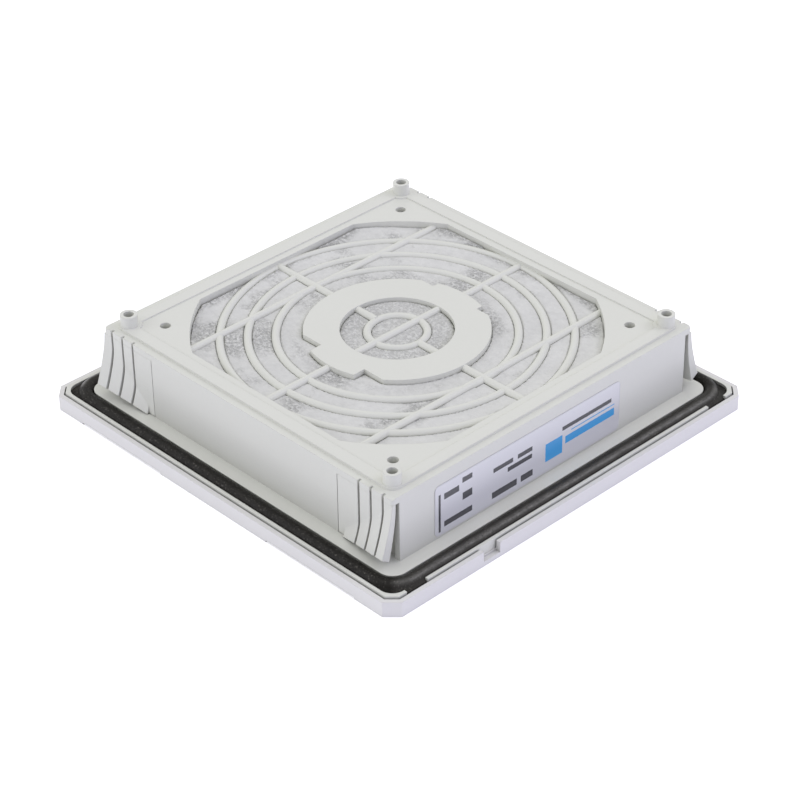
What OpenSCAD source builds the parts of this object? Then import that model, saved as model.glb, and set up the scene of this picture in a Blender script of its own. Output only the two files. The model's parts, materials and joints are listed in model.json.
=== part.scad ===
// Exhaust filter grille for an enclosure wall, lying on its front face.
// The origin is the middle of the front face, +Z points into the enclosure.
// In use the wall stands upright, -Y is up and +X is to the right as seen from the front.

/* [Rear housing] */
// Outside of the square box that passes through the panel cut-out
box_side = 90.6; // [86:0.2:100]
// Height of the box above the sealing ledge, up to the border of its back plate
box_depth = 16.1; // [14:0.1:24]
// Wall thickness of the box
wall = 1.5; // [1.2:0.1:1.8]
// Thickness of the back plate at its border
plate_t = 2; // [1.6:0.1:2.6]
// Rounding of the box edge round the back plate
edge_r = 1.2; // [0.4:0.1:1.5]
// Rounding of the box's upright corners
corner_r = 0.8; // [0.3:0.1:1.2]
// Width of the low border outside the raised band of the back plate
border_w = 1.8; // [1.6:0.1:3]
// Width of the raised band
band_w = 3; // [2:0.1:4]
// Height of the raised band above the border
band_h = 0.6; // [0.3:0.05:0.8]
// Depth of the field inside the band, below the band's top
field_drop = 0.25; // [0.15:0.05:0.4]

/* [Flange and seal] */
// Ledge between the box wall and the seal channel
ledge_w = 3.4; // [2.5:0.1:5]
// Height of the ledge above the underside of the flange
ledge_h = 2.8; // [2.4:0.1:4]
// Corner rounding of the ledge
ledge_r = 3.5; // [2.5:0.5:5]
// Width of the seal channel
channel_w = 3.6; // [3:0.1:5]
// Corner rounding of the channel's outer wall
channel_r = 3.2; // [2:0.2:5]
// Thickness of the channel floor
channel_floor = 1.2; // [1:0.1:1.6]
// Thickness of the lip outside the channel
lip_w = 0.75; // [0.6:0.05:1.2]
// Height of the lip above the channel floor
lip_h = 1.3; // [0.8:0.1:1.5]
// Length of each gap in the lip on the +X side
lip_gap = 5.8; // [3:0.2:8]
// Distance of the middle of each lip gap from the centre line
lip_gap_at = 46; // [40:0.5:46.5]
// Radius of the foamed bead of the seal
bead_r = 1.75; // [1.4:0.05:2]
// Height of the bead's centre above the channel floor
bead_lift = 0.55; // [0.2:0.05:0.8]
// Depth of foam that fills the channel beside the bead
foam_fill = 0.9; // [0.5:0.1:1.2]

/* [Ring guard] */
// Half width of the square air opening
opening_half = 38.7; // [36:0.1:39.4]
// Radius that rounds off the corners of the air opening
opening_r = 45.1; // [43:0.1:47]
// Thickness of the round rods
rod_d = 1.8; // [1.4:0.1:2.4]
// Depth of the straight rods' crests below the field of the back plate
guard_drop = 0.75; // [0.5:0.05:1.3]
// How much lower the rings lie than the straight rods
ring_step = 0.2; // [0.15:0.05:0.4]
// Radius of the innermost full ring
ring_first_r = 26.5; // [25:0.1:28]
// Distance from one ring to the next
ring_pitch = 6.1; // [5.5:0.1:6.5]
// Number of rings outside the disc
ring_count = 3; // [2:1:3]
// Distance of the two long cross bars from the centre line
bar_at = 26.2; // [24:0.1:30]
// Outer radius of the middle disc
disc_r = 20.6; // [18:0.1:22]
// Radius of the hole in the middle disc
disc_hole_r = 12.6; // [11:0.1:14]
// Thickness of the middle disc
disc_t = 1.9; // [1.4:0.1:2.2]
// How much higher the disc lies than the straight rods' crests
disc_lift = 0.1; // [0.05:0.05:0.5]
// Half width of the tongues left on the disc beside its flats
tongue_half = 6.8; // [5:0.1:8]
// Distance of the upper flat of the disc from the centre
flat_top_at = 16.3; // [16:0.1:18.5]
// Distance of the lower flat of the disc from the centre
flat_bottom_at = 17.8; // [16:0.1:19]
// Radius of the hub ring, to the middle of its rod
hub_r = 6.6; // [5:0.1:8]

/* [Screw holes] */
// Spacing of the four plain holes for an 80 mm fan
fan_pitch = 71.5; // [70:0.5:73]
// Spacing of the four screw bosses
boss_pitch = 82.6; // [81:0.1:83.5]
// Radius of the plain holes
fan_hole_r = 1.2; // [1:0.05:1.4]
// Outer radius of a boss
boss_r = 1.95; // [1.6:0.05:2]
// Height of a boss above the raised band
boss_h = 2.7; // [2:0.1:4]
// Radius of the hole in a boss
boss_hole_r = 1.15; // [0.9:0.05:1.25]
// Depth of plate left under a boss hole
boss_skin = 0.8; // [0.6:0.1:1.2]
// Width that the raised band keeps round each boss
boss_pad = 0.9; // [0.5:0.1:1.5]

/* [Spring leaves] */
// Length of each bank of leaves along the wall
bank_w = 15.9; // [15:0.1:18]
// Distance of the first slit from the corner
leaf_first = 2.7; // [2.4:0.1:3.4]
// Distance from one slit to the next
leaf_pitch = 3.5; // [3:0.1:3.8]
// Width of the slits between leaves
leaf_slit = 0.6; // [0.4:0.05:0.8]
// How far the slits run in over the border of the back plate
slit_reach = 0.8; // [0.6:0.1:1.4]
// Gap between a bank and the wall that it was cut from
bank_slit = 0.15; // [0.1:0.05:0.4]
// Thickness of a leaf at its root
leaf_t = 1; // [0.8:0.1:1.3]
// Length of the flared foot of a bank, from the corner
foot_l = 14; // [12:0.1:14.5]
// How far the foot stands out of the wall at the corner
flare_out = 3; // [2:0.1:3.2]
// How far the foot stands out of the wall at its inner end
flare_in = 0.65; // [0.2:0.05:1]
// Height above the ledge at which the leaves start to flare at the corner
knee_out = 14.1; // [10:0.1:14.4]
// Height above the ledge at which the leaves start to flare at the foot's inner end
knee_in = 2.1; // [1:0.1:6]
// Exponent of the leaves' outward curve
flare_curve = 1.4; // [1:0.1:2.5]
// Extra thickness of the tips at the corner
tip_extra = 1; // [0.4:0.1:1.2]
// Height of the tips above the ledge at the corner
tip_gap_out = 2.7; // [1.8:0.1:3.5]
// Height of the tips above the ledge at the foot's inner end
tip_gap_in = 0.15; // [0.1:0.05:1]
// Exponent of the curve along which the tips rise towards the corner
tip_curve = 0.9; // [0.8:0.1:2]
// How much higher the outer edge of the tips lies than the inner edge at the corner
foot_rise = 1.3; // [0.6:0.1:1.5]
// Thickness of the border above the root of a leaf
root_cover = 1.5; // [1.2:0.1:1.8]
// Clear depth behind the box's outer face at a bank
pocket_depth = 3; // [2.8:0.1:4]
// Where the side walls stop short of the box's corner, so that the corner leaf can bend
side_wall_stop = 2; // [1.8:0.1:2.8]

/* [Front cover] */
// Thickness of the cover's front wall
face_t = 1.6; // [1.2:0.1:2]
// Thickness of the cover's rim
rim_wall = 1.1; // [0.8:0.1:1.6]
// Height of the cover's rim
rim_h = 3.7; // [3:0.1:4.2]
// Clearance between the rim and the housing's lip
rim_gap = 0.35; // [0.3:0.05:0.8]
// Length of the chamfer across each corner, along one side
cover_corner = 2.8; // [2.4:0.1:4]
// Width of the pry notch
notch_w = 4.7; // [3:0.1:8]
// Distance of the pry notch from the centre line, towards -Y
notch_at = 26.2; // [10:0.1:36]
// Height of the pry notch's sill
notch_sill = 1.2; // [0.8:0.1:1.5]
// Half width of the louvred opening
grille_half = 38.8; // [34:0.1:38.8]
// Number of louvre blades
blade_count = 9; // [6:1:10]
// Height of the blades
blade_h = 3.4; // [2.4:0.1:3.8]
// How far a blade leans towards -Y over its height
blade_lean = 5; // [3:0.1:6]
// Width of a blade along the front face
blade_w = 2.3; // [1.6:0.1:3]
// Thickness of the two posts that carry the blades
post_w = 1.4; // [1:0.1:2]
// Distance of the posts from the centre line
post_at = 13; // [8:0.5:20]
// Wall thickness of the frame that holds the mat
frame_wall = 1.2; // [1:0.1:1.6]
// Depth of the hand relief along the upper and lower edges
relief_h = 0.45; // [0.2:0.05:0.8]
// Width of the hand relief across the edge
relief_w = 1.5; // [1:0.1:3]
// Half width of the tab left in the middle of the relief
relief_from = 17; // [10:0.5:25]
// Distance of the relief's outer ends from the centre line
relief_to = 43.5; // [35:0.5:48]

/* [Filter mat and label] */
// Thickness of the filter mat
mat_t = 13.8; // [10:0.1:14]
// Clearance between the mat and what surrounds it
mat_clear = 0.3; // [0.2:0.05:0.6]
// Corner rounding of the mat
mat_r = 2; // [0.5:0.5:4]
// Length of the label
label_l = 55.6; // [30:0.2:60]
// Height of the label
label_h = 12.5; // [8:0.1:12.5]
// Thickness of the label
label_t = 0.15; // [0.1:0.05:0.3]
// Corner rounding of the label
label_r = 1.2; // [0.5:0.1:2]
// Middle of the label along the wall
label_y = -5.7; // [-6:0.1:6]
// Height of the label's lower edge above the ledge
label_lift = 0.6; // [0.6:0.1:1.6]

/* [Hidden] */
$fn = 48;

// Each bank of leaves: its name, and the side of the box along X and Y
BANKS = [["top_right", 1, -1], ["top_left", -1, -1], ["bottom_right", 1, 1], ["bottom_left", -1, 1]];
leaf_count = 4;
leaf_steps = 8;
section_points = 4; // corners of a leaf's cross-section
over = 1; // how far a cut runs past the face it opens
bite = 0.5; // how far joined forms reach into each other

// Plan sizes, from the box outwards
box_half = box_side / 2;
ledge_half = box_half + ledge_w;
channel_half = ledge_half + channel_w;
lip_half = channel_half + lip_w;
rim_half = lip_half + rim_gap;
cover_half = rim_half + rim_wall;
bead_half = ledge_half + channel_w / 2;

// Plan sizes, from the box inwards
chamber_x = box_half - wall;
pocket_half = box_half - pocket_depth;
chamber_y = pocket_half - wall;
band_half = box_half - border_w;
field_half = band_half - band_w;
core_half = box_half - bank_w - wall;

// Heights
flange_z = face_t;
channel_z = flange_z + channel_floor;
ledge_z = flange_z + ledge_h;
plate_z = ledge_z + box_depth;
band_z = plate_z + band_h;
field_z = band_z - field_drop;
ceiling_z = plate_z - plate_t;
root_z = plate_z - root_cover;
rod_r = rod_d / 2;
rod_z = field_z - guard_drop - rod_r;
ring_z = rod_z - ring_step;
disc_z = field_z - guard_drop + disc_lift;
mat_top = min(ring_z - rod_r, disc_z - disc_t) - mat_clear;
mat_bottom = mat_top - mat_t;
core_top = ceiling_z - wall;

// A square outline with its corners cut off, whose side wall keeps the same thickness at the corners
module chamfered_square(half) {
    leg = cover_corner - (cover_half - half) * (2 - sqrt(2));
    in = half - leg;
    polygon([[half, -in], [half, in], [in, half], [-in, half],
             [-half, in], [-half, -in], [-in, -half], [in, -half]]);
}

// A rectangle outline with round corners
module rounded_rect(half_x, half_y, r) {
    square([2 * (half_x - r), 2 * half_y], center = true);
    square([2 * half_x, 2 * (half_y - r)], center = true);
    for (sx = [-1, 1])
        for (sy = [-1, 1])
            translate([sx * (half_x - r), sy * (half_y - r)])
                circle(r);
}

// Puts its children at the four corners of a square pattern
module at_square(pitch) {
    for (sx = [-1, 1])
        for (sy = [-1, 1])
            translate([sx * pitch / 2, sy * pitch / 2, 0])
                children();
}

// Mirrors its children from the bank at +X and -Y to another bank
module on_bank(bank) {
    mirror([bank[1] < 0 ? 1 : 0, 0, 0])
        mirror([0, bank[2] > 0 ? 1 : 0, 0])
            children();
}

// Front cover

// Sloping louvre blades that shed rain, seen from the side and drawn along X
module louvre_blades() {
    pitch = 2 * grille_half / blade_count;
    for (i = [0:blade_count])
        translate([0, -grille_half + i * pitch, 0])
            rotate([90, 0, 90])
                linear_extrude(2 * grille_half + 2 * bite, center = true)
                    polygon([[0, 0], [blade_w, 0], [blade_w - blade_lean, blade_h], [-blade_lean, blade_h]]);
}

// The blades and their two posts, cut to the opening
module louvres() {
    intersection() {
        union() {
            louvre_blades();
            for (sx = [-1, 1])
                translate([sx * post_at - post_w / 2, -grille_half - bite, face_t])
                    cube([post_w, 2 * (grille_half + bite), blade_h - face_t]);
        }
        linear_extrude(blade_h)
            square(2 * (grille_half + bite), center = true);
    }
}

// The frame that centres the cover in the housing's mouth and holds the mat
module mat_frame() {
    half_x = chamber_x - mat_clear;
    half_y = chamber_y - mat_clear;
    translate([0, 0, face_t - bite])
        linear_extrude(mat_bottom - mat_clear - face_t + bite)
            difference() {
                rounded_rect(half_x, half_y, mat_r);
                square([2 * (half_x - frame_wall), 2 * (half_y - frame_wall)], center = true);
            }
}

// Shallow relief under the upper and lower edges, where fingers take hold
module edge_reliefs() {
    for (sx = [-1, 1])
        for (sy = [-1, 1])
            translate([sx * (relief_from + relief_to) / 2, sy * cover_half, 0])
                cube([relief_to - relief_from, 2 * relief_w, 2 * relief_h], center = true);
}

module front_cover() color([0.84, 0.84, 0.87]) {
    difference() {
        linear_extrude(rim_h)
            chamfered_square(cover_half);
        translate([0, 0, face_t])
            linear_extrude(rim_h)
                chamfered_square(rim_half);
        translate([0, 0, -over])
            linear_extrude(face_t + 2 * over)
                square(2 * grille_half, center = true);
        translate([rim_half, -notch_at - notch_w / 2, notch_sill])
            cube([rim_wall + over, notch_w, rim_h]);
        edge_reliefs();
    }
    louvres();
    mat_frame();
}

// Rear housing

// The box with its round corners and edges, as three outlines that meet
module box_form() {
    intersection() {
        translate([0, 0, flange_z])
            linear_extrude(plate_z - flange_z)
                rounded_rect(box_half, box_half, corner_r);
        for (turn = [0, 90])
            rotate([90, 0, turn])
                linear_extrude(2 * box_half + 2 * over, center = true)
                    box_profile();
    }
}

// Side view of the box, round at both upper edges
module box_profile() {
    translate([-box_half, flange_z])
        square([2 * box_half, plate_z - edge_r - flange_z]);
    translate([-box_half + edge_r, flange_z])
        square([2 * (box_half - edge_r), plate_z - flange_z]);
    for (sx = [-1, 1])
        translate([sx * (box_half - edge_r), plate_z - edge_r])
            circle(edge_r);
}

// Flange under the seal: channel floor, ledge beside the box, and the lip outside the channel
module flange() {
    translate([0, 0, flange_z])
        linear_extrude(channel_floor)
            chamfered_square(lip_half);
    translate([0, 0, flange_z])
        linear_extrude(ledge_h)
            rounded_rect(ledge_half, ledge_half, ledge_r);
    translate([0, 0, flange_z])
        linear_extrude(channel_floor + lip_h)
            difference() {
                chamfered_square(lip_half);
                rounded_rect(channel_half, channel_half, channel_r);
                lip_gaps(over);
            }
}

// Plan of the two gaps in the lip, reaching a distance past it
module lip_gaps(past) {
    for (sy = [-1, 1])
        translate([channel_half - over, sy * lip_gap_at - lip_gap / 2])
            square([lip_w + over + past, lip_gap]);
}

// The opening and the pocket that one bank of leaves bends in
module bank_window() {
    bank_from = box_half - bank_w - bank_slit;
    height = root_z - ledge_z;
    translate([bank_from, -box_half - over, ledge_z])
        cube([chamber_x - bank_from, pocket_depth + over, height]);
    translate([chamber_x - bite, -box_half - over, ledge_z])
        cube([wall + bite + over, side_wall_stop + over, height]);
    for (n = [1:leaf_count - 1])
        translate([slit_x(n) - leaf_slit / 2, -box_half - over, root_z - bite])
            cube([leaf_slit, slit_reach + over, root_cover + bite + over]);
}

// Plan of the air opening: a square with its corners rounded off by a circle
module opening_plan() {
    intersection() {
        square(2 * opening_half, center = true);
        circle(opening_r, $fn = 96);
    }
}

// Plan of the field inside the raised band, which bends inwards round each boss
module field_plan() {
    difference() {
        square(2 * field_half, center = true);
        at_square(boss_pitch)
            circle(boss_r + boss_pad);
    }
}

// Plan of the middle disc, with flats cut beside the tongues at its upper and lower ends
module disc_plan() {
    difference() {
        circle(disc_r, $fn = 96);
        circle(disc_hole_r, $fn = 96);
        for (sx = [-1, 1]) {
            translate([sx * (tongue_half + disc_r / 2), -flat_top_at - disc_r / 2])
                square(disc_r, center = true);
            translate([sx * (tongue_half + disc_r / 2), flat_bottom_at + disc_r / 2])
                square(disc_r, center = true);
        }
    }
}

// A straight round rod along X, from one distance from the middle to another
module rod(from, to) {
    translate([from, 0, rod_z])
        rotate([0, 90, 0])
            cylinder(h = to - from, r = rod_r);
}

// A round rod bent into a ring
module ring_rod(r) {
    translate([0, 0, ring_z])
        rotate_extrude($fn = 96)
            translate([r, 0])
                circle(rod_r, $fn = 24);
}

// Hub in the middle of the disc: a ring on two spokes and on a bar that runs right across
module hub() {
    ring_rod(hub_r);
    for (turn = [0, 180])
        rotate([0, 0, turn])
            rod(hub_r, disc_hole_r + over);
    rotate([0, 0, 90])
        rod(-disc_hole_r - over, disc_hole_r + over);
}

// Ring guard over the air opening, its rods let into the back plate all round
module ring_guard() {
    reach = opening_half + over;
    for (i = [0:ring_count - 1])
        ring_rod(ring_first_r + i * ring_pitch);
    for (turn = [0:90:270])
        rotate([0, 0, turn])
            rod(disc_r - over, reach);
    for (sx = [-1, 1])
        translate([sx * bar_at, 0, 0])
            rotate([0, 0, 90])
                rod(-reach, reach);
    translate([0, 0, disc_z - disc_t])
        linear_extrude(disc_t)
            disc_plan();
    hub();
}

// The two slots that core out the thick upper and lower walls between the banks
module wall_cores() {
    for (sy = [-1, 1])
        translate([0, sy * (pocket_half + chamber_x) / 2, (flange_z + core_top) / 2 - over])
            cube([2 * core_half, pocket_depth - wall, core_top - flange_z + 2 * over], center = true);
}

module rear_housing() color([0.83, 0.83, 0.80]) {
    difference() {
        union() {
            box_form();
            flange();
            translate([0, 0, plate_z - bite])
                linear_extrude(band_h + bite)
                    rounded_rect(band_half, band_half, band_half - boss_pitch / 2);
            at_square(boss_pitch)
                translate([0, 0, plate_z - bite])
                    cylinder(h = bite + band_h + boss_h, r = boss_r);
        }
        translate([-chamber_x, -chamber_y, flange_z - over])
            cube([2 * chamber_x, 2 * chamber_y, ceiling_z - flange_z + over]);
        wall_cores();
        for (bank = BANKS)
            on_bank(bank)
                bank_window();
        translate([0, 0, ceiling_z - over])
            linear_extrude(band_z - ceiling_z + 2 * over)
                opening_plan();
        translate([0, 0, field_z])
            linear_extrude(field_drop + over)
                field_plan();
        at_square(fan_pitch)
            translate([0, 0, ceiling_z - over])
                cylinder(h = band_z - ceiling_z + 2 * over, r = fan_hole_r);
        at_square(boss_pitch)
            translate([0, 0, ceiling_z + boss_skin])
                cylinder(h = band_z + boss_h - ceiling_z - boss_skin + over, r = boss_hole_r);
    }
    ring_guard();
}

// Seal

// Cross-section of the foamed bead, flat where it lies on the channel floor
module bead_section() {
    intersection() {
        translate([0, bead_lift])
            circle(bead_r);
        translate([-bead_r, 0])
            square(2 * bead_r);
    }
}

// The bead laid round the channel: four straight runs and four quarter bends
module bead() {
    bend_at = ledge_half - ledge_r;
    for (turn = [0:90:270])
        rotate([0, 0, turn]) {
            translate([bead_half, bend_at, channel_z])
                rotate([90, 0, 0])
                    linear_extrude(2 * bend_at)
                        bead_section();
            translate([bend_at, bend_at, channel_z])
                rotate_extrude(angle = 90)
                    translate([bead_half - bend_at, 0])
                        bead_section();
        }
}

// Foam that spreads over the channel floor and out through the gaps in the lip
module seal() color([0.08, 0.08, 0.09]) {
    bead();
    translate([0, 0, channel_z])
        linear_extrude(foam_fill) {
            difference() {
                rounded_rect(channel_half, channel_half, channel_r);
                rounded_rect(ledge_half, ledge_half, ledge_r);
            }
            intersection() {
                lip_gaps(0);
                chamfered_square(lip_half);
            }
        }
}

// Filter mat and label

module filter_mat() color([0.93, 0.93, 0.93])
    translate([0, 0, mat_bottom])
        linear_extrude(mat_t)
            rounded_rect(chamber_x - mat_clear, chamber_y - mat_clear, mat_r);

module type_label() color([0.95, 0.95, 0.96])
    translate([box_half, label_y, ledge_z + label_lift + label_h / 2])
        rotate([90, 0, 90])
            linear_extrude(label_t)
                rounded_rect(label_l / 2, label_h / 2, label_r);

// Spring leaves

// Middle of slit number n along the wall, counted from the corner, for the bank at +X and -Y
function slit_x(n) = box_half - leaf_first - (n - 1) * leaf_pitch;

// Ends of leaf number n along the wall; the last one flares only from where the foot begins
function leaf_from(n) = n == leaf_count ? box_half - foot_l : slit_x(n) + leaf_slit / 2;
function leaf_to(n) = n == 1 ? box_half : slit_x(n - 1) - leaf_slit / 2;

// Share of the way along the foot, from its inner end to the corner, and what changes with it
function foot_share(x) = (x - box_half + foot_l) / foot_l;
function flare(x) = flare_in + (flare_out - flare_in) * foot_share(x);
function knee_z(x) = ledge_z + knee_in + (knee_out - knee_in) * foot_share(x);
function tip_z(x) = ledge_z + tip_gap_in + (tip_gap_out - tip_gap_in) * pow(foot_share(x), tip_curve);

// A point of a leaf at x, a share u of the way from knee to tip, on its outer or inner face
function leaf_outer(x, u) = [x, -box_half - flare(x) * pow(u, flare_curve),
    knee_z(x) - u * (knee_z(x) - tip_z(x))];
function leaf_inner(x, u) = [x, leaf_outer(x, u)[1] + leaf_t + tip_extra * foot_share(x) * u,
    leaf_outer(x, u)[2] - u * foot_rise * foot_share(x)];

// The four corners of a leaf's cross-section at its root, and at a share u below the knee
function root_section(from, to) = [[from, -box_half, root_z], [to, -box_half, root_z],
    [to, leaf_t - box_half, root_z], [from, leaf_t - box_half, root_z]];
function leaf_section(from, to, u) = [leaf_outer(from, u), leaf_outer(to, u),
    leaf_inner(to, u), leaf_inner(from, u)];

// The flaring part of leaf number n: straight down to its knee, then curving outwards to the tip
module leaf_form(n) {
    from = leaf_from(n);
    to = leaf_to(n);
    points = concat(root_section(from, to),
        [for (k = [0:leaf_steps]) each leaf_section(from, to, k / leaf_steps)]);
    last = len(points) - section_points;
    sides = [for (k = [0:section_points:last - 1], j = [0:section_points - 1])
        let (a = k + j, b = k + (j + 1) % section_points)
            each [[a, b, b + section_points], [a, b + section_points, a + section_points]]];
    polyhedron(points, concat([[3, 2, 1, 0], [last, last + 1, last + 2, last + 3]], sides));
}

// The straight web that joins the last leaf's foot to the end of the bank
module leaf_web() {
    translate([box_half - bank_w, -box_half, ledge_z + tip_gap_in])
        cube([bank_w - foot_l + bite, leaf_t, root_z - ledge_z - tip_gap_in]);
}

module leaf(bank, n) color([0.84, 0.84, 0.82])
    on_bank(bank) {
        leaf_form(n);
        if (n == leaf_count)
            leaf_web();
    }

front_cover();
rear_housing();
seal();
filter_mat();
type_label();
for (bank = BANKS)
    for (n = [1:leaf_count])
        leaf(bank, n);
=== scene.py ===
import json
import math

import bpy
import numpy as np
from mathutils import Matrix, Vector, noise
from mathutils.bvhtree import BVHTree

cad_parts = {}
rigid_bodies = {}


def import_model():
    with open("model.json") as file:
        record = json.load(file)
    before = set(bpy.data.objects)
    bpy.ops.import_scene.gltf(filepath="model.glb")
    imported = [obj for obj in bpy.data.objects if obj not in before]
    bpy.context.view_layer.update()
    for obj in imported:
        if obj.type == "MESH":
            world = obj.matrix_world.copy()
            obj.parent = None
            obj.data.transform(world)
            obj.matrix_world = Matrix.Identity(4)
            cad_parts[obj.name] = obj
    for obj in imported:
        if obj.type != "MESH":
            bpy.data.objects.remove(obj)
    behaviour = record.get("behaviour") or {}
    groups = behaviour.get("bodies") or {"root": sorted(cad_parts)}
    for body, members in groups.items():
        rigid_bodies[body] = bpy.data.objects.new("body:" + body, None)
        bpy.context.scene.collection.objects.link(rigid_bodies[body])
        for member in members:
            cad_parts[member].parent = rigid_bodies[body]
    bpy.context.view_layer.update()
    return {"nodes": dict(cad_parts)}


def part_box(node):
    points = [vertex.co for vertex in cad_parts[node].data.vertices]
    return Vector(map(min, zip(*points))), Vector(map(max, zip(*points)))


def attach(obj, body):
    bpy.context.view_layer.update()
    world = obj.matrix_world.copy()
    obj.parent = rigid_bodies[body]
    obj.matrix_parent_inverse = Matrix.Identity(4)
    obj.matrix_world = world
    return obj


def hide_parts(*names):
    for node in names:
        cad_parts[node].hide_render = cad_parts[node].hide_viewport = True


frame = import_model()
nodes = frame["nodes"]

# Camera
# The grille lies on its front face, and the view is from above its near corner, between the wall
# that has the spring leaves and the wall that has the label. A long lens keeps it almost without
# perspective.
view_azimuth = math.radians(46.31)
view_elevation = math.radians(34.03)
view_roll = math.radians(-0.76)
view_target = Vector((0.01181, -0.01073, 0.0120))
view_distance = 0.55143
view_lens = 115.69
view_sensor = 36
view_near = 0.01
view_far = 20

towards_camera = Vector((math.sin(view_azimuth) * math.cos(view_elevation),
                         -math.cos(view_azimuth) * math.cos(view_elevation),
                         math.sin(view_elevation)))
level_right = Vector((math.cos(view_azimuth), math.sin(view_azimuth), 0))
level_up = towards_camera.cross(level_right)
camera_right = level_right * math.cos(view_roll) + level_up * math.sin(view_roll)
camera_up = level_up * math.cos(view_roll) - level_right * math.sin(view_roll)
bpy.ops.object.camera_add()
camera = bpy.context.object
camera.matrix_world = Matrix((camera_right, camera_up, towards_camera)).transposed().to_4x4()
camera.location = view_target + towards_camera * view_distance
camera.data.lens = view_lens
camera.data.sensor_width = view_sensor
camera.data.clip_start = view_near
camera.data.clip_end = view_far
scene = bpy.context.scene
scene.camera = camera
scene.view_settings.view_transform = "Standard"


# Studio floor and light
# A white table in a white light tent, which is warmer above and bluer at its foot and on its right
# side, with one soft box behind and one on the left. The table shows white to the camera and keeps
# the soft shadow of the grille.
class Signal:
    """A value on its way through a material. Sums and products of signals add their own nodes."""

    def __init__(self, finish, socket):
        self.finish = finish
        self.socket = socket

    def math(self, operation, first, second=0.0, clamp=False):
        return self.finish.node("ShaderNodeMath", {"operation": operation, "use_clamp": clamp},
                                {0: first, 1: second})

    def __add__(self, other):
        return self.math("ADD", self, other)

    def __radd__(self, other):
        return self.math("ADD", other, self)

    def __sub__(self, other):
        return self.math("SUBTRACT", self, other)

    def __rsub__(self, other):
        return self.math("SUBTRACT", other, self)

    def __mul__(self, other):
        return self.math("MULTIPLY", self, other)

    def __rmul__(self, other):
        return self.math("MULTIPLY", other, self)

    def __truediv__(self, other):
        return self.math("DIVIDE", self, other)

    def __pow__(self, other):
        return self.math("POWER", self, other)

    def __gt__(self, other):
        return self.math("GREATER_THAN", self, other)

    def __lt__(self, other):
        return self.math("LESS_THAN", self, other)

    def size(self):
        return self.math("ABSOLUTE", self)

    def at_least(self, other):
        return self.math("MAXIMUM", self, other)

    def held(self):
        """The value kept between 0 and 1."""
        return self.math("ADD", self, 0.0, clamp=True)


class Finish:
    """The nodes of one material or of the world, ending in its own output."""

    def __init__(self, name, owner=None):
        self.owner = owner or bpy.data.materials.new(name)
        self.owner.use_nodes = True
        self.tree = self.owner.node_tree
        self.tree.nodes.clear()

    def node(self, kind, settings=None, inputs=None, output=0):
        made = self.tree.nodes.new(kind)
        for key, value in (settings or {}).items():
            setattr(made, key, value)
        for key, value in (inputs or {}).items():
            if isinstance(value, Signal):
                self.tree.links.new(value.socket, made.inputs[key])
            else:
                made.inputs[key].default_value = value
        return Signal(self, made.outputs[output])

    def end(self, shader, kind="ShaderNodeOutputMaterial"):
        """Joins the shader to the output, and hands back the finished material or world."""
        self.tree.links.new(shader.socket, self.tree.nodes.new(kind).inputs["Surface"])
        return self.owner

    def mix(self, share, first, second):
        """A colour between two colours."""
        return self.node("ShaderNodeMix", {"data_type": "RGBA"}, {0: share, 6: first, 7: second}, output=2)

    def part(self, vector, axis):
        """One coordinate of a vector."""
        return self.node("ShaderNodeSeparateXYZ", inputs={0: vector}, output=axis)

    def clouds(self, place, scale, detail, roughness=0.5):
        """Soft noise round 0.5, with scale clouds to the metre."""
        return self.node("ShaderNodeTexNoise", inputs={"Vector": place, "Scale": scale, "Detail": detail,
                                                       "Roughness": roughness})

    def seen_directly(self):
        """1 for what the camera sees, also through glass or in a mirror, and 0 for light on its way."""
        return (self.node("ShaderNodeLightPath", output="Is Camera Ray")
                + self.node("ShaderNodeLightPath", output="Is Glossy Ray")
                + self.node("ShaderNodeLightPath", output="Is Transmission Ray")).held()


white = (1, 1, 1, 1)
table_white = (0.90, 0.90, 0.94, 1)
table_size = 6.0
table_glow = 0.55
bpy.ops.mesh.primitive_plane_add(size=table_size, location=(0, 0, 0))
table = bpy.context.object
table.name = "table"
table_finish = Finish("white_table")
lit = table_finish.node("ShaderNodeBsdfDiffuse", inputs={"Color": table_white})
glow = table_finish.node("ShaderNodeEmission",
                         inputs={"Color": white, "Strength": table_finish.seen_directly() * table_glow})
lit_and_glowing = table_finish.node("ShaderNodeAddShader", inputs={0: lit, 1: glow})
table.data.materials.append(table_finish.end(lit_and_glowing))

tent_warm = (1.0, 1.0, 0.975, 1)
tent_cool = (0.905, 0.90, 1.0, 1)
tent_right = (0.875, 0.865, 1.22, 1)
tent_level = 0.86
tent_fade = 1.2
right_share = 0.8
scene.world = bpy.data.worlds.new("studio")
studio = Finish("studio", scene.world)
towards = studio.node("ShaderNodeTexCoord", output="Generated")
tent = studio.mix((studio.part(towards, "Z") * tent_fade).held(), tent_cool, tent_warm)
tent = studio.mix((studio.part(towards, "X") * tent_fade).held() * right_share, tent, tent_right)
light = studio.node("ShaderNodeBackground", inputs={"Color": tent, "Strength": tent_level})
background = studio.node("ShaderNodeBackground", inputs={"Color": white, "Strength": 1.0})
studio.end(studio.node("ShaderNodeMixShader", inputs={0: studio.seen_directly(), 1: light, 2: background}),
           kind="ShaderNodeOutputWorld")


def soft_box(name, place, size, watts, color):
    """A square lamp at a place, turned to the middle of the grille."""
    grille_middle = Vector((0, 0, 0.01))
    bpy.ops.object.light_add(type="AREA", location=place)
    lamp = bpy.context.object
    lamp.name = name
    lamp.data.shape = "SQUARE"
    lamp.data.size = size
    lamp.data.energy = watts
    lamp.data.color = color
    lamp.rotation_euler = (grille_middle - Vector(place)).to_track_quat("-Z", "Y").to_euler()


soft_box("soft_box_behind", place=(0.58, 0.76, 0.90), size=0.42, watts=2.2, color=(0.93, 0.92, 1.0))
soft_box("soft_box_left", place=(-0.7, -1.1, 0.7), size=0.9, watts=3.2, color=(0.90, 0.91, 1.0))


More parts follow.
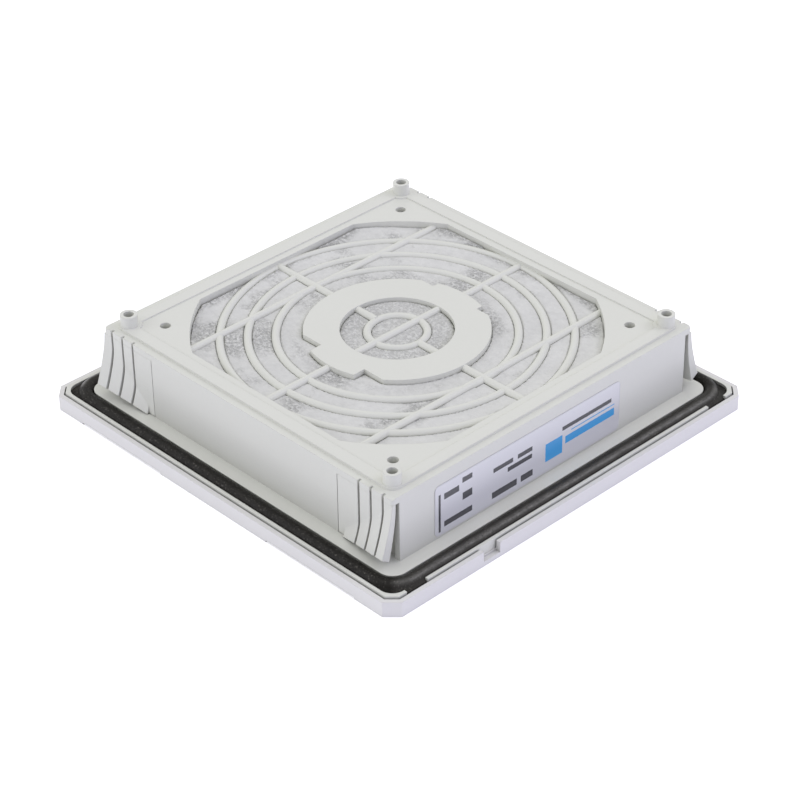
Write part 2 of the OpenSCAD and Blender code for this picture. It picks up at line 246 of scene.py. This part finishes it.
# Front cover
# A shallow tray of light grey plastic with sloping louvres in its face, moulded in one and snapped
# on to the rear housing. It is the lowest piece here, and its rim and chamfered corners show.
cover_grey = (0.745, 0.738, 0.705)
plastic_roughness = 0.38
plastic_ior = 1.49
mottle_scale = 55.0
speck_scale = 900.0
mottle = 0.035
grain_size = 0.00030
grain_depth = 0.000010
wave_scale = 90.0
wave_depth = 0.00008
edge_round = 0.00022
nook_reach = 0.0035
slit_top = 0.0200
slit_sharpness = 900.0
foot_reach = 0.012
foot_top = 0.0195
foot_sharpness = 150.0
foot_shade = 0.57
ray_count = 6


def moulded_plastic(name, grey):
    """Satin plastic, faintly mottled, with a spark-eroded grain and slightly rubbed edges painted a little
    paler, partly as a painted highlight. Its slits and nooks hold painted shade with a little dust, and
    its walls are painted darker towards their foot as painted shade.
    """
    plastic = Finish(name)
    place = plastic.node("ShaderNodeTexCoord", output="Object")
    height = plastic.part(place, "Z")
    cloud = plastic.clouds(place, mottle_scale, detail=4.0, roughness=0.6)
    speck = plastic.clouds(place, speck_scale, detail=2.0)
    soft = plastic.node("ShaderNodeBevel", {"samples": ray_count}, {"Radius": edge_round})
    flat = plastic.node("ShaderNodeNewGeometry", output="Normal")
    likeness = plastic.node("ShaderNodeVectorMath", {"operation": "DOT_PRODUCT"}, {0: soft, 1: flat},
                            output="Value")
    # Edges are painted a little paler: partly rubbed, and partly a painted highlight.
    edge = ((1 - likeness) * 6.0).held()
    shade = (cloud - 0.5) * mottle + (speck - 0.5) * (mottle * 0.6) + edge * 0.06
    darker = tuple(c * 0.80 for c in grey) + (1,)
    paler = tuple(min(c * 1.20, 0.95) for c in grey) + (1,)
    shade_and_dust = (grey[0] * 0.23, grey[1] * 0.23, grey[2] * 0.20, 1)
    color = plastic.mix((0.5 + shade * 2.5).held(), darker, paler)

    # Slits and nooks are painted towards a dark grey: painted shade, with a little dust.
    nook = 1 - plastic.node("ShaderNodeAmbientOcclusion", {"samples": ray_count},
                            {"Distance": nook_reach}, output="AO")
    in_slit = nook ** 4 * ((slit_top - height) * slit_sharpness).held()
    color = plastic.mix(in_slit.at_least(nook ** 6 * 0.45), color, shade_and_dust)

    # Upright faces are painted darker towards the foot of the walls, where they are sheltered: painted
    # shade.
    sheltered = 1 - plastic.node("ShaderNodeAmbientOcclusion", {"samples": ray_count, "only_local": True},
                                 {"Distance": foot_reach}, output="AO")
    upright = 1 - plastic.part(flat, "Z").size()
    wall_foot = sheltered * upright * ((foot_top - height) * foot_sharpness).held()
    color = plastic.mix(wall_foot * foot_shade, color, shade_and_dust)

    grain = plastic.clouds(place, 1 / grain_size, detail=2.0)
    wave = plastic.clouds(place, wave_scale, detail=1.0)
    relief = plastic.node("ShaderNodeBump", inputs={"Strength": 0.6, "Distance": wave_depth,
                                                    "Height": wave, "Normal": soft})
    relief = plastic.node("ShaderNodeBump", inputs={"Strength": 0.7, "Distance": grain_depth,
                                                    "Height": grain, "Normal": relief})
    rough = plastic_roughness + (cloud - 0.5) * 0.16 - edge * 0.10 + nook * 0.08
    return plastic.end(plastic.node("ShaderNodeBsdfPrincipled", inputs={
        "Base Color": color, "Roughness": rough, "Normal": relief,
        "IOR": plastic_ior, "Specular IOR Level": 0.42}))


def dress(node, material):
    """Gives a CAD node its finish."""
    piece = nodes[node]
    piece.data.materials.clear()
    piece.data.materials.append(material)


dress("front_cover", moulded_plastic("cover_plastic", cover_grey))

# Rear housing
# One moulding in a slightly warmer grey: the flange under the seal, the box that goes through the
# cut-out, the back plate with its screw bosses, and the ring guard over the mat.
housing_grey = (0.706, 0.712, 0.642)
housing_plastic = moulded_plastic("housing_plastic", housing_grey)
dress("rear_housing", housing_plastic)

# Spring leaves
# Moulded in one with the housing and of the same plastic. Each is cut free by slits and bends
# inwards when the box is pushed into the cut-out.
for name in nodes:
    if name.startswith("leaf_"):
        dress(name, housing_plastic)

# Foamed seal
# Black polyurethane foam, poured as a bead into the flange channel, where it rises and sets with a
# closed skin. The skin is slightly lumpy, with small pits and motes of dust, and its pits are painted
# darker as painted shade. On the side runs it is painted a little greyer, and along its shoulder a
# painted sheen is added, as painted light; its shoulder also shines with a glossy coat.
bead_voxel = 0.00030
bead_inset = 0.00004
weld_reach = 1e-6
lump_size = 0.0032
lump_height = 0.00011
bubble_size = 0.0007
bubble_depth = 0.00005
still_foot = 0.001
channel_floor_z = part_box("seal")[0][2]
bpy.ops.object.select_all(action="DESELECT")
nodes["seal"].select_set(True)
bpy.context.view_layer.objects.active = nodes["seal"]
bpy.ops.object.duplicate()
foam_bead = bpy.context.object
bpy.ops.object.parent_clear(type="CLEAR_KEEP_TRANSFORM")
for key in list(foam_bead.keys()):
    del foam_bead[key]
foam_bead.name = "foam_bead"
foam_bead.data.materials.clear()
bpy.ops.object.mode_set(mode="EDIT")
bpy.ops.mesh.select_all(action="SELECT")
bpy.ops.mesh.remove_doubles(threshold=weld_reach)
bpy.ops.object.mode_set(mode="OBJECT")
even_faces = foam_bead.modifiers.new("even_faces", "REMESH")
even_faces.mode = "VOXEL"
even_faces.voxel_size = bead_voxel
even_faces.use_smooth_shade = True
bpy.ops.object.modifier_apply(modifier=even_faces.name)
bpy.ops.object.mode_set(mode="EDIT")
bpy.ops.mesh.select_all(action="SELECT")
bpy.ops.mesh.vertices_smooth(factor=0.5, repeat=3)
bpy.ops.object.mode_set(mode="OBJECT")
normals = [vertex.normal.copy() for vertex in foam_bead.data.vertices]
for vertex, normal in zip(foam_bead.data.vertices, normals):
    lump = noise.noise(vertex.co / lump_size) * lump_height
    bubble = -abs(noise.noise(vertex.co / bubble_size)) * bubble_depth
    free = min(max((vertex.co.z - channel_floor_z) / still_foot, 0), 1)
    vertex.co = vertex.co + normal * ((lump + bubble) * free - bead_inset)

foam_dark = (0.003, 0.0025, 0.002, 1)
foam_light = (0.014, 0.012, 0.009, 1)
foam_pit = (0.003, 0.003, 0.003, 1)
foam_sheen = (0.205, 0.197, 0.175, 1)
mote_grey = (0.31, 0.29, 0.25, 1)
skin_scale = 260.0
skin_depth = 0.00010
pit_scale = 1900.0
pit_depth = 0.00003
streak_scale = 700.0
mote_scale = 2600.0
bend_at = 0.0452
shoulder_at = 0.05125
shoulder_width = 0.0008


def foam_skin():
    """Black foam skin. The bead is a square with round corners, whose bends are centred on bend_at."""
    foam = Finish("seal_foam")
    place = foam.node("ShaderNodeTexCoord", output="Object")
    cloud = foam.clouds(place, skin_scale, detail=5.0, roughness=0.65)
    pore = foam.node("ShaderNodeTexVoronoi", {"feature": "F1"}, {"Vector": place, "Scale": pit_scale},
                     output="Distance")
    pit = ((0.30 - pore) * 6.0).held()
    color = foam.mix((cloud * 1.6 - 0.3).held(), foam_dark, foam_light)
    # Pits are painted darker: painted shade inside them.
    color = foam.mix(pit * 0.7, color, foam_pit)
    relief = foam.node("ShaderNodeBump", inputs={"Strength": 1.0, "Distance": skin_depth, "Height": cloud})
    relief = foam.node("ShaderNodeBump", inputs={"Strength": 0.8, "Distance": pit_depth, "Height": 1 - pit,
                                                 "Normal": relief})

    past_x = foam.part(place, "X").size() - bend_at
    past_y = foam.part(place, "Y").size() - bend_at
    side_run = ((past_x - past_y) * 400 + 0.3).held()
    outwards = (past_x.at_least(0.0) ** 2 + past_y.at_least(0.0) ** 2) ** 0.5 + bend_at
    shoulder = (1 - (outwards - shoulder_at).size() / shoulder_width).held()
    streak = foam.clouds(place, streak_scale, detail=3.0, roughness=0.7)
    gloss = (shoulder * (streak * 2.4 - 0.30)).held() * (1 - pit) * (side_run * 0.75 + 0.25)
    # Painted sheen: the side runs are painted a little greyer, most of all along their shoulder, as
    # painted light.
    color = foam.mix(side_run * (shoulder * 0.18 + 0.10), color, foam_sheen)
    mote = ((foam.clouds(place, mote_scale, detail=2.0) - 0.61 + shoulder * 0.03) * 8.0).held()
    color = foam.mix(mote * 0.26, color, mote_grey)
    rough = 0.52 + (cloud - 0.5) * 0.35 + pit * 0.2
    return foam.end(foam.node("ShaderNodeBsdfPrincipled", inputs={
        "Base Color": color, "Roughness": rough, "Normal": relief, "Coat Weight": gloss,
        "Coat Roughness": 0.30, "IOR": 1.50, "Specular IOR Level": 0.16}))


foam_bead.data.materials.append(foam_skin())
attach(foam_bead, "housing")
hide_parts("seal")

# Filter mat
# A thick pad of white non-woven fleece laid loose in the housing's chamber. The closed cover presses
# it against the ring guard, so that it bulges up between the rods, smooth where it is pressed and
# fluffy where the guard leaves it free.
mat_low, mat_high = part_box("filter_mat")
mat_width = mat_high[0] - mat_low[0]
mat_length = mat_high[1] - mat_low[1]
mat_step = 0.00032
mat_gap = 0.00010
hug = 8000.0
hug_reach = 0.0010
bulge_z = 0.01922
bulge_size = 0.011
bulge_wave = 0.00030
bulge_lean = 0.004
edge_swell = 0.00035
edge_width = 0.0045
opening_reach = 0.0387
tuft_size = 0.0009
tuft_height = 0.00007
tuft_layer = 0.3
smooth_below = math.radians(50)
columns = round(mat_width / mat_step)
rows = round(mat_length / mat_step)
bpy.ops.object.select_all(action="DESELECT")
bpy.ops.mesh.primitive_grid_add(x_subdivisions=columns, y_subdivisions=rows, size=1.0)
fleece_mat = bpy.context.object
fleece_mat.name = "fleece_mat"
bpy.ops.object.mode_set(mode="EDIT")
bpy.ops.mesh.select_all(action="SELECT")
bpy.ops.transform.resize(value=(mat_width, mat_length, 1))
bpy.ops.transform.translate(value=(0, 0, mat_high[2]))
bpy.ops.object.mode_set(mode="OBJECT")

# The free bulge of the fleece, held down to just under the guard wherever a ray meets the guard.
guard = BVHTree.FromObject(nodes["rear_housing"], bpy.context.evaluated_depsgraph_get())
top = np.empty((rows + 1, columns + 1))
cells = []
for vertex in fleece_mat.data.vertices:
    x, y, _ = vertex.co
    row = round((y - mat_low[1]) / mat_length * rows)
    column = round((x - mat_low[0]) / mat_width * columns)
    cells.append((row, column))
    near_edge = min(max((max(abs(x), abs(y)) - opening_reach + edge_width) / edge_width, 0), 1)
    wave = noise.noise(Vector((x, y, 0)) / bulge_size)
    free = bulge_z + wave * bulge_wave - (x - y) * bulge_lean + near_edge * edge_swell
    hit = guard.ray_cast(Vector((x, y, mat_low[2])), Vector((0, 0, 1)))[0]
    top[row, column] = min(free, hit.z - mat_gap) if hit else free

# Beside a rod the fleece rises in a curve: each cell is at most as high as any near cell, plus hug
# times the square of the distance to it.
reach = int(hug_reach / mat_step)
pressed = top.copy()
for down in range(-reach, reach + 1):
    for right in range(-reach, reach + 1):
        rise = hug * ((down * mat_step) ** 2 + (right * mat_step) ** 2)
        shifted = np.full_like(top, 1.0)
        shifted[max(down, 0):rows + 1 + min(down, 0), max(right, 0):columns + 1 + min(right, 0)] = (
            top[max(-down, 0):rows + 1 + min(-down, 0), max(-right, 0):columns + 1 + min(-right, 0)])
        pressed = np.minimum(pressed, shifted + rise)
for vertex, cell in zip(fleece_mat.data.vertices, cells):
    tuft = noise.noise(Vector((vertex.co.x, vertex.co.y, tuft_layer)) / tuft_size)
    vertex.co.z = pressed[cell] - abs(tuft) * tuft_height

# The sides and the flat underside.
bpy.ops.object.mode_set(mode="EDIT")
bpy.ops.mesh.select_all(action="DESELECT")
bpy.ops.mesh.select_non_manifold()
bpy.ops.mesh.extrude_edges_move(TRANSFORM_OT_translate={"value": (0, 0, 0)})
bpy.ops.object.mode_set(mode="OBJECT")
for vertex in fleece_mat.data.vertices:
    if vertex.select:
        vertex.co.z = mat_low[2]
bpy.ops.object.mode_set(mode="EDIT")
bpy.ops.mesh.edge_face_add()
bpy.ops.mesh.select_all(action="SELECT")
bpy.ops.mesh.normals_make_consistent(inside=False)
bpy.ops.object.mode_set(mode="OBJECT")
bpy.ops.object.shade_smooth_by_angle(angle=smooth_below)

fleece_dim = (0.565, 0.567, 0.535, 1)
fleece_pale = (0.735, 0.737, 0.695, 1)
fleece_gap_shade = (0.22, 0.22, 0.20, 1)
fibre_turns = ((15, 240, 2100), (75, 260, 2300), (130, 220, 1900))
fibre_layers = 700
clump_scale = 620.0
drift_scale = 120.0
patch_scale = 70.0
gap_scale = 1300.0
fluff_depth = 0.00014
hub_reach = 0.0127
disc_reach = 0.0222
far_band = 0.0034


def white_fleece():
    """Matted white fibres, loose in the hub, at the disc, along the far edges and in patches, where the
    gaps between the loose fibres are painted dark grey as painted shade; along the far edges this is
    painted shadow under the plate.
    """
    fleece = Finish("white_fleece")
    place = fleece.node("ShaderNodeTexCoord", output="Object")

    def strands(turn, along, across):
        """Fine fibres that run roughly one way, 1 on a fibre and 0 between them."""
        laid = fleece.node("ShaderNodeMapping", {"vector_type": "POINT"},
                           {"Vector": place, "Rotation": (0, 0, math.radians(turn)),
                            "Scale": (along, across, fibre_layers)})
        wisp = fleece.node("ShaderNodeTexNoise", inputs={"Vector": laid, "Scale": 1.0, "Detail": 2.0,
                                                         "Distortion": 1.2})
        return (1 - (wisp - 0.5).size() * 8.0).held()

    first, second, third = (strands(*fibres) for fibres in fibre_turns)
    web = first.at_least(second).at_least(third)
    clump = fleece.clouds(place, clump_scale, detail=4.0, roughness=0.7)
    drift = fleece.clouds(place, drift_scale, detail=2.0)
    loft = (0.4 + web * 0.25 + (clump - 0.5) * 1.2 + (drift - 0.5) * 0.8).held()
    color = fleece.mix(loft, fleece_dim, fleece_pale)

    x = fleece.part(place, "X")
    y = fleece.part(place, "Y")
    patch = fleece.clouds(place, patch_scale, detail=3.0, roughness=0.6)
    from_middle = (x * x + y * y) ** 0.5
    in_hub = (from_middle < hub_reach) * (0.35 + patch * 0.7)
    at_disc = (1 - (from_middle - disc_reach).size() * 420).held() * (patch * 4.0 - 1.5).held()
    # Along the far edges of the opening the loose fibres are painted darker: painted shadow under the edge
    # of the plate.
    far_edge = ((y.at_least(0.0 - x) - opening_reach + far_band) * 500 + (patch - 0.5) * 5.0).held()
    loose = ((patch - 0.52) * 9.0).held().at_least(in_hub).at_least(at_disc).at_least(far_edge)
    facing_up = fleece.part(fleece.node("ShaderNodeNewGeometry", output="Normal"), "Z")
    loose = loose * (facing_up * 2.0).held().at_least(0.3)
    # The gaps between the loose fibres are painted dark grey: painted shade.
    hole = fleece.clouds(place, gap_scale, detail=3.0, roughness=0.75)
    gap = ((0.52 - hole) * 7.0 + 0.35).held()
    color = fleece.mix(loose * gap * (1 - web * 0.5) * 0.85, color, fleece_gap_shade)
    fluff = loft * 0.5 + (1 - gap * loose) * 0.8
    relief = fleece.node("ShaderNodeBump", inputs={"Strength": 1.0, "Distance": fluff_depth,
                                                   "Height": fluff})
    return fleece.end(fleece.node("ShaderNodeBsdfPrincipled", inputs={
        "Base Color": color, "Roughness": 0.95, "Normal": relief, "Sheen Weight": 0.15,
        "Sheen Roughness": 0.6, "Specular IOR Level": 0.15}))


fleece_mat.data.materials.append(white_fleece())
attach(fleece_mat, "mat")
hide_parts("filter_mat")

# Type label
# Clear satin film stuck on the right-hand wall, so that the plastic's grey shows through. It is
# printed with plain rows of short blue and dark grey bars. Each bar is given by its two ends along
# the wall and its lower and upper edge.
label_low, label_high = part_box("type_label")
label_top = label_high[2]
label_middle = (label_low[1] + label_high[1]) / 2
label_half = (label_high[1] - label_low[1]) / 2
label_rim = 0.00022
film_dim = (0.695, 0.70, 0.70, 1)
film_pale = (0.735, 0.74, 0.74, 1)
film_shade = (0.30, 0.30, 0.31, 1)
film_scale = 70.0
film_depth = 0.00004
foot_fade = 0.032
print_scale = 2500.0
print_wobble = 0.00016
bar_blue = (0.01, 0.31, 0.66, 1)
bar_dark = (0.025, 0.025, 0.032, 1)
blue_bars = [(0.0051, 0.0204, 0.0094, 0.0113), (0.0069, 0.0204, 0.01205, 0.0123),
             (-0.0010, 0.0042, 0.0076, 0.0121)]
dark_bars = [(0.0041, 0.0194, 0.0131, 0.0141), (-0.0166, -0.0108, 0.0127, 0.0138),
             (-0.0094, -0.0050, 0.0127, 0.0138), (-0.0124, -0.0051, 0.0109, 0.0120),
             (-0.0170, -0.0096, 0.0063, 0.0079), (-0.0084, -0.0048, 0.0063, 0.0079),
             (-0.0257, -0.0228, 0.0149, 0.0162), (-0.0309, -0.0266, 0.0134, 0.0149),
             (-0.0256, -0.0228, 0.0106, 0.0124), (-0.0309, -0.0228, 0.0066, 0.0080),
             (-0.0325, -0.0319, 0.0058, 0.0152)]


def label_film():
    """Satin film with a fine dark rim and a darker foot, both painted shade, and its printed bars."""
    film = Finish("label_film")
    place = film.node("ShaderNodeTexCoord", output="Object")
    along = film.part(place, "Y")
    height = film.part(place, "Z")
    wobble = (film.clouds(place, print_scale, detail=1.0) - 0.5) * print_wobble

    def printed(bars):
        """1 inside any of the bars and 0 beside them."""
        ink = 0.0
        for left, right, low, high in bars:
            within_ends = (along + wobble - (left + right) / 2).size() < (right - left) / 2
            within_edges = (height + wobble - (low + high) / 2).size() < (high - low) / 2
            ink = within_ends * within_edges + ink
        return ink.held()

    pale = film.clouds(place, film_scale, detail=3.0)
    # The fine dark rim along the film's edges and the darkening towards its foot are painted shade.
    rim = ((along - label_middle).size() > label_half - label_rim).at_least(height > label_top - label_rim)
    foot = ((label_top - height) / foot_fade).held()
    color = film.mix(pale, film_dim, film_pale)
    color = film.mix((rim * 0.30).at_least(foot), color, film_shade)
    color = film.mix(printed(blue_bars) * 0.92, color, bar_blue)
    color = film.mix(printed(dark_bars) * 0.95, color, bar_dark)
    relief = film.node("ShaderNodeBump", inputs={"Strength": 0.4, "Distance": film_depth, "Height": pale})
    return film.end(film.node("ShaderNodeBsdfPrincipled", inputs={
        "Base Color": color, "Roughness": 0.24 + (pale - 0.5) * 0.1, "Normal": relief,
        "IOR": 1.50, "Specular IOR Level": 0.6}))


dress("type_label", label_film())
